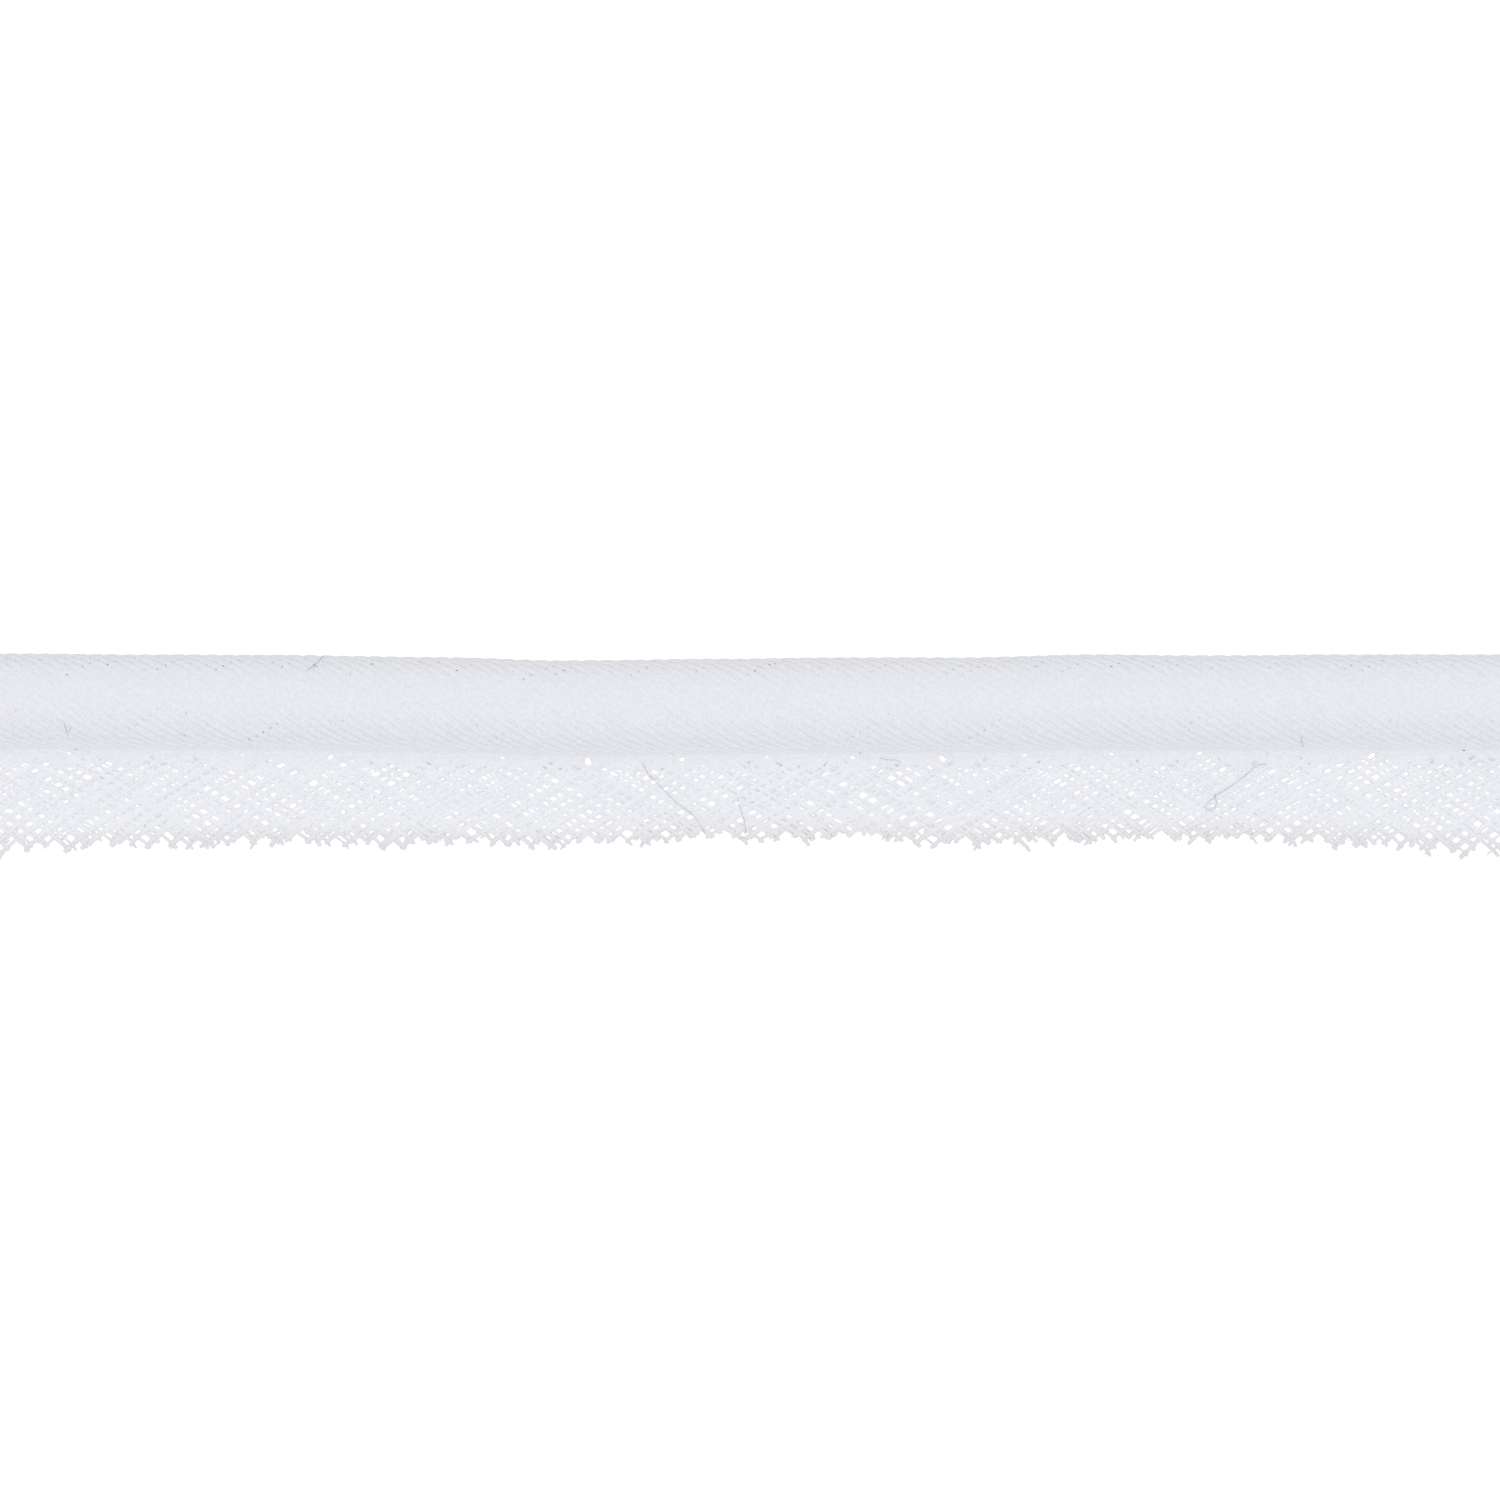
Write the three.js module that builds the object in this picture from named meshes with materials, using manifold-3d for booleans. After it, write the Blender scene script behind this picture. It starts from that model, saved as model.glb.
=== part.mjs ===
// Corded piping, a cut length: a strip of cotton cut on the bias, folded round a filler cord
// and sewn close to it. Its two layers run on past the seam as a flange with frayed raw edges.
// Millimetres. X runs along the piping, Y across it with the cord at +Y, and Z up from the
// surface that it lies on.

import * as THREE from "three";
import { mergeVertices } from "three/addons/utils/BufferGeometryUtils.js";
import Module from "manifold-3d";

const wasm = await Module();
wasm.setup();

// The length and the covered cord
const LENGTH = 100;
const COVERED_DIAMETER = 4.6;
const CORD_SIDE = 5; // Y of the covered cord's outer side, where the piping lies straight
const FLAT_SPOT_DEPTH = 0.06; // the round underside is pressed flat by this much

// The cloth, which is the same strip in both layers
const CLOTH_THICKNESS = 0.4;
const LAYER_GAP = 0.2;

// The seam, which lies against the cord, and the flange, which sinks from it to the surface
const SEAM_DISTANCE = 2.34; // from the cord's centre to the crease between the two layers
const SEAM_DROP = THREE.MathUtils.degToRad(20);
const CREASE_REACH = 0.35; // how far the bend at the seam reaches along each of its two sides
const FLANGE_SIDE = -4.65; // Y of the frayed edge, where the piping lies straight
const FLAT_EDGE = 1.8; // width of the flange's edge that lies flat on the surface

// The raw edge's loose thread ends, a tooth for each coarse thread
const TOOTH_PITCH = 0.98;
const NOTCH_DEPTH = 0.5;
const NOTCH_WIDTH = 0.74;
const NOTCH_MARGIN = 0.15; // a cut starts this far outside the solid
const UPPER_SHIFT = 0.2; // of a pitch, by which the upper layer's teeth lie beside the lower's
const UNEVENNESS = { place: 0.12, width: 0.2, depth: 0.35 }; // as shares of the size
const RHYTHM = { place: 2.4, depth: 1.3 }; // radians from one tooth to the next

// The filler cord, three plies twisted together
const FILLER_RADIUS = 1.56;
const PLIES = 3;
const PLY_GROOVE = 0.13; // depth of the groove between two plies
const PLY_LENGTH = 20; // of one full turn of the twist

// How finely the curves are divided
const FLANGE_POINTS = 6;
const CREASE_POINTS = 3;
const WRAP_POINTS = 20;
const LENGTH_STEPS = 28;
const PLY_POINTS = 6;
const TWIST_STEPS = 50;
const SLOPE_STEP = 0.01; // of Y, over which a slope is measured
const MERGE_DISTANCE = 1e-4; // points nearer than this are one

// Where the cord's outer side and the frayed edge lie along the length: it isn't quite straight
const STATIONS = [
  { x: -50, cordSide: 4.99, frayedSide: -4.88 },
  { x: -37, cordSide: 5.0, frayedSide: -5.0 },
  { x: -31, cordSide: 4.95, frayedSide: -4.75 },
  { x: -24, cordSide: 4.93, frayedSide: -4.65 },
  { x: -16, cordSide: 4.82, frayedSide: -4.65 },
  { x: -9, cordSide: 4.65, frayedSide: -4.8 },
  { x: -2, cordSide: 4.73, frayedSide: -4.35 },
  { x: 5, cordSide: 4.8, frayedSide: -4.4 },
  { x: 11, cordSide: 4.8, frayedSide: -4.6 },
  { x: 17, cordSide: 4.95, frayedSide: -4.45 },
  { x: 23, cordSide: 4.9, frayedSide: -4.35 },
  { x: 30, cordSide: 4.95, frayedSide: -4.7 },
  { x: 37, cordSide: 4.95, frayedSide: -4.95 },
  { x: 50, cordSide: 4.98, frayedSide: -4.75 },
];

// A column of the stations at a place along the length, eased from each row to the next.
function stationValue(x, column) {
  const next = STATIONS.findIndex((station) => station.x >= x);
  if (next <= 0) return STATIONS.at(next)[column]; // before the first row or past the last
  const [low, high] = [STATIONS[next - 1], STATIONS[next]];
  const share = THREE.MathUtils.smoothstep(x, low.x, high.x);
  return THREE.MathUtils.lerp(low[column], high[column], share);
}

// A point at an angle on a circle in the section.
function onCircle(centre, radius, angle) {
  return new THREE.Vector2(Math.cos(angle), Math.sin(angle)).multiplyScalar(radius).add(centre);
}

// The section, in Y and Z. Its points are Vector2s whose x is Y and whose y is Z.
const cordCentre = new THREE.Vector2(
  CORD_SIDE - COVERED_DIAMETER / 2,
  COVERED_DIAMETER / 2 - FLAT_SPOT_DEPTH,
);
const wrapRadius = (COVERED_DIAMETER - CLOTH_THICKNESS) / 2; // of the middle of the cloth
const halfSpread = (LAYER_GAP + CLOTH_THICKNESS) / 2; // from the flange's middle to a layer's
const seam = onCircle(cordCentre, SEAM_DISTANCE, Math.PI + SEAM_DROP);
const edgeHeight = LAYER_GAP / 2 + CLOTH_THICKNESS; // of the flange's middle, where it lies flat
const flatFrom = FLANGE_SIDE + FLAT_EDGE;

// The height of the flange's middle: flat at the edge, then rising to meet the seam's slope.
function flangeHeight(y) {
  const share = Math.max(0, (y - flatFrom) / (seam.x - flatFrom));
  const rise = seam.y - edgeHeight;
  const steepening = (Math.tan(SEAM_DROP) * (seam.x - flatFrom)) / rise;
  return edgeHeight + rise * share ** steepening;
}

// The middle of one layer of the flange, from its raw edge to the seam. side is 1 for the upper.
function flangeLayer(side) {
  const points = [];
  for (let i = 0; i <= FLANGE_POINTS; i += 1) {
    const y = THREE.MathUtils.lerp(FLANGE_SIDE, seam.x, i / FLANGE_POINTS);
    const slope = (flangeHeight(y + SLOPE_STEP) - flangeHeight(y)) / SLOPE_STEP;
    const up = new THREE.Vector2(-slope, 1).normalize();
    points.push(new THREE.Vector2(y, flangeHeight(y)).addScaledVector(up, side * halfSpread));
  }
  return points;
}

// The middle of one layer from its raw edge to where it meets the round of the cord.
function layerToCord(side) {
  const flange = flangeLayer(side);
  const corner = flange.at(-1);
  const out = corner.clone().sub(cordCentre);
  const tangentAngle = out.angle() - side * Math.acos(wrapRadius / out.length());
  const tangent = onCircle(cordCentre, wrapRadius, tangentAngle);
  const alongFlange = flange.at(-2).clone().sub(corner).setLength(CREASE_REACH).add(corner);
  const towardsCord = tangent.clone().sub(corner).setLength(CREASE_REACH).add(corner);
  const crease = new THREE.QuadraticBezierCurve(alongFlange, corner, towardsCord);
  const points = [...flange.slice(0, -1), ...crease.getPoints(CREASE_POINTS)];
  return { points, tangentAngle };
}

// The middle of the whole strip, from the upper raw edge round the cord to the lower one.
function stripMiddle() {
  const upper = layerToCord(1);
  const lower = layerToCord(-1);
  const sweep = upper.tangentAngle + 2 * Math.PI - lower.tangentAngle;
  const wrap = [];
  for (let i = 0; i <= WRAP_POINTS; i += 1) {
    const angle = upper.tangentAngle - (sweep * i) / WRAP_POINTS;
    wrap.push(onCircle(cordCentre, wrapRadius, angle));
  }
  return [...upper.points, ...wrap, ...lower.points.reverse()];
}

// The strip's section: its middle, thickened to both sides and pressed flat underneath.
function stripSection() {
  const middle = stripMiddle();
  const outside = [];
  const inside = [];
  middle.forEach((point, i) => {
    const before = middle[Math.max(i - 1, 0)];
    const after = middle[Math.min(i + 1, middle.length - 1)];
    const along = after.clone().sub(before).normalize();
    const out = new THREE.Vector2(-along.y, along.x).multiplyScalar(CLOTH_THICKNESS / 2);
    const outer = point.clone().add(out);
    const inner = point.clone().sub(out);
    outside.push(new THREE.Vector2(outer.x, Math.max(outer.y, 0)));
    inside.push(new THREE.Vector2(inner.x, Math.max(inner.y, CLOTH_THICKNESS)));
  });
  return new THREE.Shape([...outside, ...inside.reverse()]);
}

// Extrudes a section of Y and Z along X, with the middle of the length at X = 0.
function extrudeAlongX(section, steps) {
  const geometry = new THREE.ExtrudeGeometry(section, {
    depth: LENGTH,
    steps,
    bevelEnabled: false,
  });
  const turn = new THREE.Matrix4().makeBasis(
    new THREE.Vector3(0, 1, 0),
    new THREE.Vector3(0, 0, 1),
    new THREE.Vector3(1, 0, 0),
  );
  return geometry.translate(0, 0, -LENGTH / 2).applyMatrix4(turn);
}

// Moves each point of a geometry to where place puts it.
function movePoints(geometry, place) {
  const position = geometry.attributes.position;
  const point = new THREE.Vector3();
  for (let i = 0; i < position.count; i += 1) {
    place(point.fromBufferAttribute(position, i));
    position.setXYZ(i, point.x, point.y, point.z);
  }
  return geometry;
}

// Lays a point of the straight strip in its place: the cord sways and the flange's width varies.
function layStripPoint(point) {
  const sway = stationValue(point.x, "cordSide") - CORD_SIDE;
  const beyondSeam = seam.x - point.y;
  if (beyondSeam <= 0) {
    point.y += sway;
    return;
  }
  const width = seam.x + sway - stationValue(point.x, "frayedSide");
  point.y = seam.x + sway - (beyondSeam * width) / (seam.x - FLANGE_SIDE);
}

// A geometry as a solid that can be cut.
function toSolid(geometry) {
  const bare = new THREE.BufferGeometry();
  bare.setAttribute("position", geometry.attributes.position);
  if (geometry.index) bare.setIndex(geometry.index);
  const merged = mergeVertices(bare, MERGE_DISTANCE);
  const mesh = new wasm.Mesh({
    numProp: 3,
    vertProperties: merged.attributes.position.array,
    triVerts: new Uint32Array(merged.index.array),
  });
  return new wasm.Manifold(mesh);
}

// A solid as a geometry again.
function toGeometry(solid) {
  const mesh = solid.getMesh();
  const geometry = new THREE.BufferGeometry();
  geometry.setAttribute("position", new THREE.BufferAttribute(mesh.vertProperties, 3));
  geometry.setIndex(new THREE.BufferAttribute(mesh.triVerts, 1));
  geometry.computeVertexNormals();
  return geometry;
}

// The notches between the loose thread ends of one layer, as shapes in X and Y. layer is 0 for
// the lower layer and 1 for the upper.
function notchShapes(layer) {
  const shapes = [];
  const count = Math.floor(LENGTH / TOOTH_PITCH);
  for (let i = 0; i < count; i += 1) {
    const sideways = Math.sin(RHYTHM.place * i + layer);
    const inwards = Math.sin(RHYTHM.depth * i + layer);
    const pitches = i + 0.5 + UPPER_SHIFT * layer + UNEVENNESS.place * sideways;
    const x = pitches * TOOTH_PITCH - LENGTH / 2;
    const side = stationValue(x, "frayedSide");
    const depth = NOTCH_DEPTH * (1 + UNEVENNESS.depth * inwards);
    const halfWidth = (NOTCH_WIDTH / 2) * (1 + UNEVENNESS.width * sideways);
    const outside = side - NOTCH_MARGIN;
    shapes.push(
      new THREE.Shape([
        new THREE.Vector2(x - halfWidth, outside),
        new THREE.Vector2(x + halfWidth, outside),
        new THREE.Vector2(x, side + depth),
      ]),
    );
  }
  return shapes;
}

// The notches of one layer as a solid.
function notchSolid(layer) {
  const reach = edgeHeight + NOTCH_MARGIN;
  const geometry = new THREE.ExtrudeGeometry(notchShapes(layer), {
    depth: reach,
    steps: 1,
    bevelEnabled: false,
  });
  return toSolid(geometry.translate(0, 0, layer ? edgeHeight : -NOTCH_MARGIN));
}

// The bias strip: one folded cloth, with the thread ends of both raw edges cut apart.
function makeBiasStrip() {
  const cloth = toSolid(movePoints(extrudeAlongX(stripSection(), LENGTH_STEPS), layStripPoint));
  const frayed = cloth.subtract(notchSolid(0)).subtract(notchSolid(1));
  const mesh = new THREE.Mesh(
    toGeometry(frayed),
    new THREE.MeshStandardMaterial({ color: 0xecedf2, roughness: 0.95, metalness: 0 }),
  );
  mesh.name = "bias_strip";
  return mesh;
}

// The filler cord's section about its own centre: a round with a groove between each two plies.
function fillerSection() {
  const points = [];
  const count = PLIES * PLY_POINTS;
  for (let i = 0; i < count; i += 1) {
    const angle = (2 * Math.PI * i) / count;
    const groove = PLY_GROOVE * (1 - Math.abs(Math.cos((PLIES * angle) / 2)));
    points.push(onCircle(new THREE.Vector2(), FILLER_RADIUS - groove, angle));
  }
  return new THREE.Shape(points);
}

// The filler cord, twisted along its length and swaying with the cover.
function makeFillerCord() {
  const along = new THREE.Vector3(1, 0, 0);
  const geometry = movePoints(extrudeAlongX(fillerSection(), TWIST_STEPS), (point) => {
    const sway = stationValue(point.x, "cordSide") - CORD_SIDE;
    point.applyAxisAngle(along, (2 * Math.PI * point.x) / PLY_LENGTH);
    point.y += cordCentre.x + sway;
    point.z += cordCentre.y;
  });
  geometry.computeVertexNormals();
  const mesh = new THREE.Mesh(
    geometry,
    new THREE.MeshStandardMaterial({ color: 0xf2f2f0, roughness: 1, metalness: 0 }),
  );
  mesh.name = "filler_cord";
  return mesh;
}

const cordedPiping = new THREE.Group();
cordedPiping.add(makeBiasStrip(), makeFillerCord());

export default cordedPiping;
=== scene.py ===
# %% [markdown]
# Corded piping, thread by thread
#
# Corded piping is a trimming for the seams of cushions, upholstery and clothes. A strip of
# cotton is cut on the bias, which means at a slant to its threads, so that it bends without
# creasing. It is folded round a soft filler cord and sewn close to it. The two layers that run on
# past the seam are the flange, by which the piping is later sewn in between two pieces of cloth.
#
# The picture looks straight down from so near that single threads show: the flange is full of
# small diamond holes, and its raw edge frays into thread ends. A weave like that could be a
# bump texture on a thin sheet, but then its holes would be painted, and the frayed edge would be
# a straight cut. So here the cloth is really woven: every thread is a small tube that passes
# over and under its neighbours, and the light comes through the true gaps.
#
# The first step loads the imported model. Its two solids, the folded strip and the filler, say
# where everything lies, and nothing in this script moves them.

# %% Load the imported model
import math
from collections import namedtuple

import bpy
import numpy as np
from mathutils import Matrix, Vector


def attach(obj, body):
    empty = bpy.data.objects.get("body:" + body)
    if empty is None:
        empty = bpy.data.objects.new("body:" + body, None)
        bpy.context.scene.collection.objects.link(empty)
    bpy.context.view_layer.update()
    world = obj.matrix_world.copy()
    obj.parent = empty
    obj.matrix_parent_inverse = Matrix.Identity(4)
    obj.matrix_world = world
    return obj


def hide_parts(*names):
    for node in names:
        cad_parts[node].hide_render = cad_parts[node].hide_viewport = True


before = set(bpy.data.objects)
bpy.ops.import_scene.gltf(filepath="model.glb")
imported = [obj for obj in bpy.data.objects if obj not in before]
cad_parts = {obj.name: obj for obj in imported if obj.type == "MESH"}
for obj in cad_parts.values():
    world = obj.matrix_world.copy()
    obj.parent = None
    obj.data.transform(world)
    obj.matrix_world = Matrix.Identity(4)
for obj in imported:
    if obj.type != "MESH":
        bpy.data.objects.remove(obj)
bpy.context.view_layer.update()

mm = 0.001
print("solids:", sorted(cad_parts))

# %% [markdown]
# The sizes
#
# These are the sizes of the solids, written once more, because the visual model has to lie
# where the solids are. Everything is in metres, and the factor mm keeps the numbers readable.
# The cloth is thinner here than its solid: where two threads cross, it is about an eighth of a
# millimetre thick.

# %% Name the driving sizes
length = 100 * mm
covered_diameter = 4.6 * mm
cord_side = 5.0 * mm
flat_spot_depth = 0.06 * mm
seam_distance = 2.42 * mm
seam_drop = math.radians(6)
cloth_half = 0.065 * mm

cord_y = cord_side - covered_diameter / 2
cord_z = covered_diameter / 2 - flat_spot_depth
seam_y = cord_y - seam_distance * math.cos(seam_drop)
seam_z = cord_z - seam_distance * math.sin(seam_drop)
print("cord's centre", (round(cord_y / mm, 2), round(cord_z / mm, 2)), "mm")
print("seam", (round(seam_y / mm, 2), round(seam_z / mm, 2)), "mm")

# %% [markdown]
# Where it lies along its length
#
# The piping isn't quite straight: the cord sways by a third of a millimetre, and the frayed edge
# wanders more. A short table gives both at a few places, in millimetres, and an eased step
# leads from each row to the next.

# %% Lay out the sway of the cord and of the frayed edge
Station = namedtuple("Station", "x cord_side frayed_side")
stations = [
    Station(-50, 4.99, -4.88),
    Station(-37, 5.0, -5.0),
    Station(-31, 4.95, -4.75),
    Station(-24, 4.93, -4.65),
    Station(-16, 4.82, -4.65),
    Station(-9, 4.65, -4.8),
    Station(-2, 4.73, -4.35),
    Station(5, 4.8, -4.4),
    Station(11, 4.8, -4.6),
    Station(17, 4.95, -4.45),
    Station(23, 4.9, -4.35),
    Station(30, 4.95, -4.7),
    Station(37, 4.95, -4.95),
    Station(50, 4.98, -4.75),
]


def along(x, column):
    """A column of the stations, in metres, at the places x."""
    xs = np.array([s.x for s in stations]) * mm
    values = np.array([getattr(s, column) for s in stations]) * mm
    row = np.clip(np.searchsorted(xs, x) - 1, 0, len(xs) - 2)
    share = np.clip((x - xs[row]) / (xs[row + 1] - xs[row]), 0, 1)
    share = share**2 * (3 - 2 * share)
    return values[row] + (values[row + 1] - values[row]) * share


def sway(x):
    """How far the cord is off its straight line at the places x."""
    return along(x, "cord_side") - cord_side


print("sway at the middle:", round(float(sway(np.array([0.0]))[0]) / mm, 3), "mm")

# %% [markdown]
# The camera
#
# The picture was taken from straight above, from far enough away that nothing looks wider near
# the edges. A long lens does the same here. The frame is 75 mm wide at the height of the
# cord's middle.

# %% Add the camera
frame_width = 75 * mm
lens_length = 135
sensor_width = 36
view_middle_y = 0.2 * mm

camera_data = bpy.data.cameras.new("long_lens")
camera_data.lens = lens_length
camera_data.sensor_width = sensor_width
camera_data.clip_start = 0.01
camera_data.clip_end = 10
camera = bpy.data.objects.new("long_lens", camera_data)
camera.location = (0, view_middle_y, cord_z + frame_width * lens_length / sensor_width)
bpy.context.scene.collection.objects.link(camera)
bpy.context.scene.camera = camera
print("camera height:", round(camera.location.z, 3), "m")

# %% [markdown]
# The cloth's path across the piping
#
# Cut across, the strip is one line: in from the raw edge of the upper layer, up to the seam,
# round the cord and back down to the raw edge of the lower layer. The path is drawn from short
# stretches, divided evenly, and smoothed a little, which rounds the crease at the seam as cloth
# does. Each point knows its distance v from the start and which way is outwards.

# %% Draw the path of the cloth's middle
path_step = 0.02 * mm
path_start_y = -5.6 * mm
layer_spread = 0.062 * mm
pressed_spread = 0.055 * mm
band_width = 0.8 * mm
droop_start_y = -3.9 * mm
droop_end_y = -4.7 * mm
droop = 0.16 * mm
smoothing = 0.22 * mm
flat_from = -4.3 * mm
curve_points = 200
pressed_from = 1.5
seam_slope = math.tan(math.radians(16))


def ease(share):
    """A smooth step from 0 to 1."""
    share = np.clip(share, 0, 1)
    return share**2 * (3 - 2 * share)


def flange_middle(y):
    """The height midway between the two layers: a curve that comes down and ends level."""
    edge_z = layer_spread + cloth_half
    run = seam_y - flat_from
    t = np.clip((y - flat_from) / run, 0, 1)
    return edge_z + (seam_z - edge_z) * t**2 * (3 - 2 * t) + seam_slope * run * t**2 * (t - 1)


def flange_layer(side):
    """The middle of one layer of the flange, from its raw edge to the seam."""
    y = np.linspace(path_start_y, seam_y, curve_points)
    z = flange_middle(y)
    slope = np.gradient(z, y)
    up = np.stack([-slope, np.ones_like(y)], 1) / np.hypot(slope, 1)[:, None]
    pressing = ease((y - seam_y) / band_width + pressed_from)
    spread = layer_spread + (pressed_spread - layer_spread) * pressing
    points = np.stack([y, z], 1) + side * spread[:, None] * up
    if side > 0:
        points[:, 1] -= droop * ease((droop_start_y - y) / (droop_start_y - droop_end_y))
    return points


def tangent_angle(side, corner):
    """The angle on the cord at which a layer leaves it for the seam."""
    away = corner - (cord_y, cord_z)
    angle = math.atan2(away[1], away[0]) % (2 * math.pi)
    return angle - side * math.acos(wrap_radius / math.hypot(*away))


wrap_radius = covered_diameter / 2 - cloth_half
upper, lower = flange_layer(1), flange_layer(-1)
upper_angle, lower_angle = tangent_angle(1, upper[-1]), tangent_angle(-1, lower[-1]) - 2 * math.pi
angles = np.linspace(upper_angle, lower_angle, curve_points)
wrap = np.stack([cord_y + wrap_radius * np.cos(angles), cord_z + wrap_radius * np.sin(angles)], 1)
corners = np.concatenate([upper, wrap, lower[::-1]])

spans = np.hypot(*np.diff(corners, axis=0).T)
travelled = np.concatenate([[0], np.cumsum(spans)])
path_v = np.arange(0, travelled[-1], path_step)
path = np.stack([np.interp(path_v, travelled, corners[:, axis]) for axis in (0, 1)], 1)
reach = int(3 * smoothing / path_step)
kernel = np.exp(-0.5 * (np.arange(-reach, reach + 1) * path_step / smoothing) ** 2)
kernel /= kernel.sum()
padded = np.pad(path, ((reach, reach), (0, 0)), mode="reflect", reflect_type="odd")
path = np.stack([np.convolve(padded[:, axis], kernel, "valid") for axis in (0, 1)], 1)
path[:, 1] = np.maximum(path[:, 1], cloth_half)
path_along = np.gradient(path, axis=0)
path_along /= np.hypot(*path_along.T)[:, None]
path_out = np.stack([-path_along[:, 1], path_along[:, 0]], 1)

crease_upper = travelled[len(upper) - 1]
wrap_start = travelled[len(upper)]
crease_lower = travelled[len(upper) + len(wrap)]
strip_end = path_v[-1]
creases_in_mm = [round(crease / mm, 2) for crease in (crease_upper, crease_lower)]
print("path:", round(strip_end / mm, 2), "mm, creases at", creases_in_mm)

# %% [markdown]
# The path gives a place on the cloth for every pair of numbers: u runs along the piping and v
# across the strip. The flange doesn't lie quite flat but in slow waves, and the middle of every
# thread stays clear of the floor.

# %% Turn the path into places on the cloth
cockle_height = 0.1 * mm
cockle_lengths = (9.3 * mm, 5.1 * mm)
cockle_fade = 2.5 * mm
lowest_centre = 0.065 * mm


def cockle(u, v):
    """How far the flange is lifted off the floor, as it lies in slow waves."""
    wave = sum(np.sin(2 * math.pi * u / wavelength) for wavelength in cockle_lengths)
    share = 0.5 + wave / (2 * len(cockle_lengths))
    beyond_crease = np.maximum(crease_upper - v, v - crease_lower)
    return cockle_height * share * ease((beyond_crease - band_width) / cockle_fade)


def on_cloth(u, v, lift):
    """Places in the row frame: u along the piping, v across the strip, lift outwards from it."""
    y, z, out_y, out_z = (np.interp(v, path_v, a) for a in (*path.T, *path_out.T))
    height = np.maximum(z + cockle(u, v) + lift * out_z, lowest_centre)
    return np.stack([u, y + sway(u) + lift * out_y, height], -1)


def cloth_normal(v):
    """The outward direction of the cloth at v."""
    out_y, out_z = (np.interp(v, path_v, a) for a in path_out.T)
    return np.stack([np.zeros_like(out_y), out_y, out_z], -1)


cord_top = wrap_start + wrap_radius * (upper_angle - math.pi / 2)
cord_outermost = wrap_start + wrap_radius * upper_angle
cord_bottom = cord_outermost + wrap_radius * math.pi / 2


def upper_v(u, y):
    """The place v that is seen from above at u and y."""
    seen = path_v < cord_outermost
    return np.interp(y - sway(u), np.maximum.accumulate(path[seen, 0]), path_v[seen])


def lower_v(u, y):
    """The place v on the lower layer of the flange at u and y."""
    low = path_v > crease_lower
    return np.interp(sway(u) - y, -path[low, 0], path_v[low])


print("the cord's top is at", round(cord_top / mm, 2), "mm across the strip")

# %% [markdown]
# The weave
#
# The strip is cut on the bias, so both sets of threads cross the piping at a slant. Along the
# piping a warp thread passes every 0.711 mm and a weft thread every 0.984 mm. Pulled round the
# cord and sewn, the cloth has sheared: the threads lie at about 33 degrees to the length in the
# flange and a little steeper on the cord, and near the raw edges they relax to 42.
#
# A warp thread's number and a weft thread's number together name one crossing, so the whole
# cloth is a grid of crossings. Each thread wanders a little from its ideal line, and moving the
# crossing moves both of its threads, which keeps them in touch.

# %% Lay out the crossings
warp_pitch = 0.711 * mm
weft_pitch = 0.984 * mm
raw_edge_y = -4.7 * mm
raw_upper = upper_v(np.array(0.0), raw_edge_y)
raw_lower = lower_v(np.array(0.0), raw_edge_y)
slants = [
    (raw_upper, 42.0),
    (raw_upper + 1.2 * mm, 33.5),
    (crease_upper, 33.0),
    (crease_upper + 1.5 * mm, 37.0),
    (crease_lower - 1.5 * mm, 37.0),
    (crease_lower, 33.0),
    (raw_lower - 1.2 * mm, 33.5),
    (raw_lower, 42.0),
]
path_slant = np.radians(np.interp(path_v, *zip(*slants)))
drift = np.concatenate([[0], np.cumsum((1 / np.tan(path_slant))[:-1] * path_step)])
half_length = length / 2


def numbers(first, last, pitch):
    """The numbers of the threads that pass between two places."""
    return np.arange(math.floor(first / pitch), math.ceil(last / pitch) + 1)


warp_places = warp_pitch * numbers(-half_length, half_length + drift[-1], warp_pitch)
weft_places = weft_pitch * numbers(-half_length - drift[-1], half_length, weft_pitch)
warp_grid, weft_grid = np.meshgrid(warp_places, weft_places, indexing="ij")
grid_drift = (warp_grid - weft_grid) / 2
node_u = (warp_grid + weft_grid) / 2
node_v = np.interp(grid_drift, drift, path_v)
on_strip = (grid_drift > 0) & (grid_drift < drift[-1])
shape = node_u.shape
inside = on_strip & (abs(node_u) < half_length)
print("grid of", shape, "crossings,", int(inside.sum()), "on the strip")

# %% [markdown]
# An exact grid would look drawn, not woven. Each thread gets a small shift of its own and wanders
# slowly along its length, less where the seam and the cord hold it tight. The seed of the random
# numbers is fixed, so the cloth is the same on every run.

# %% Let the threads wander
seed = 7
rng = np.random.default_rng(seed)
slow_reach = 3
wander_own = 0.06 * mm
wander_slow = 0.075 * mm
wander_when_tight = 0.25
lower_band_shortening = 0.2 * mm
hold_fade = 1.0 * mm


def smooth_noise(size, axis, reach):
    """Random numbers of unit size that change slowly along one axis."""
    steps = np.arange(-3 * reach, 3 * reach + 1)
    weights = np.exp(-0.5 * (steps / reach) ** 2)
    weights /= np.sqrt((weights**2).sum())
    grown = list(size)
    grown[axis] += 6 * reach
    raw = rng.normal(size=grown)
    return np.apply_along_axis(lambda line: np.convolve(line, weights, "valid"), axis, raw)


def per_thread(axis):
    """One random number of unit size for each thread, the same all along it."""
    size = [1 if i == axis else n for i, n in enumerate(shape)]
    return np.broadcast_to(rng.normal(size=size), shape)


def wander(axis):
    """How far each crossing moves along the cloth's slants, for one set of threads."""
    return wander_own * per_thread(axis) + wander_slow * smooth_noise(shape, axis, slow_reach)


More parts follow.
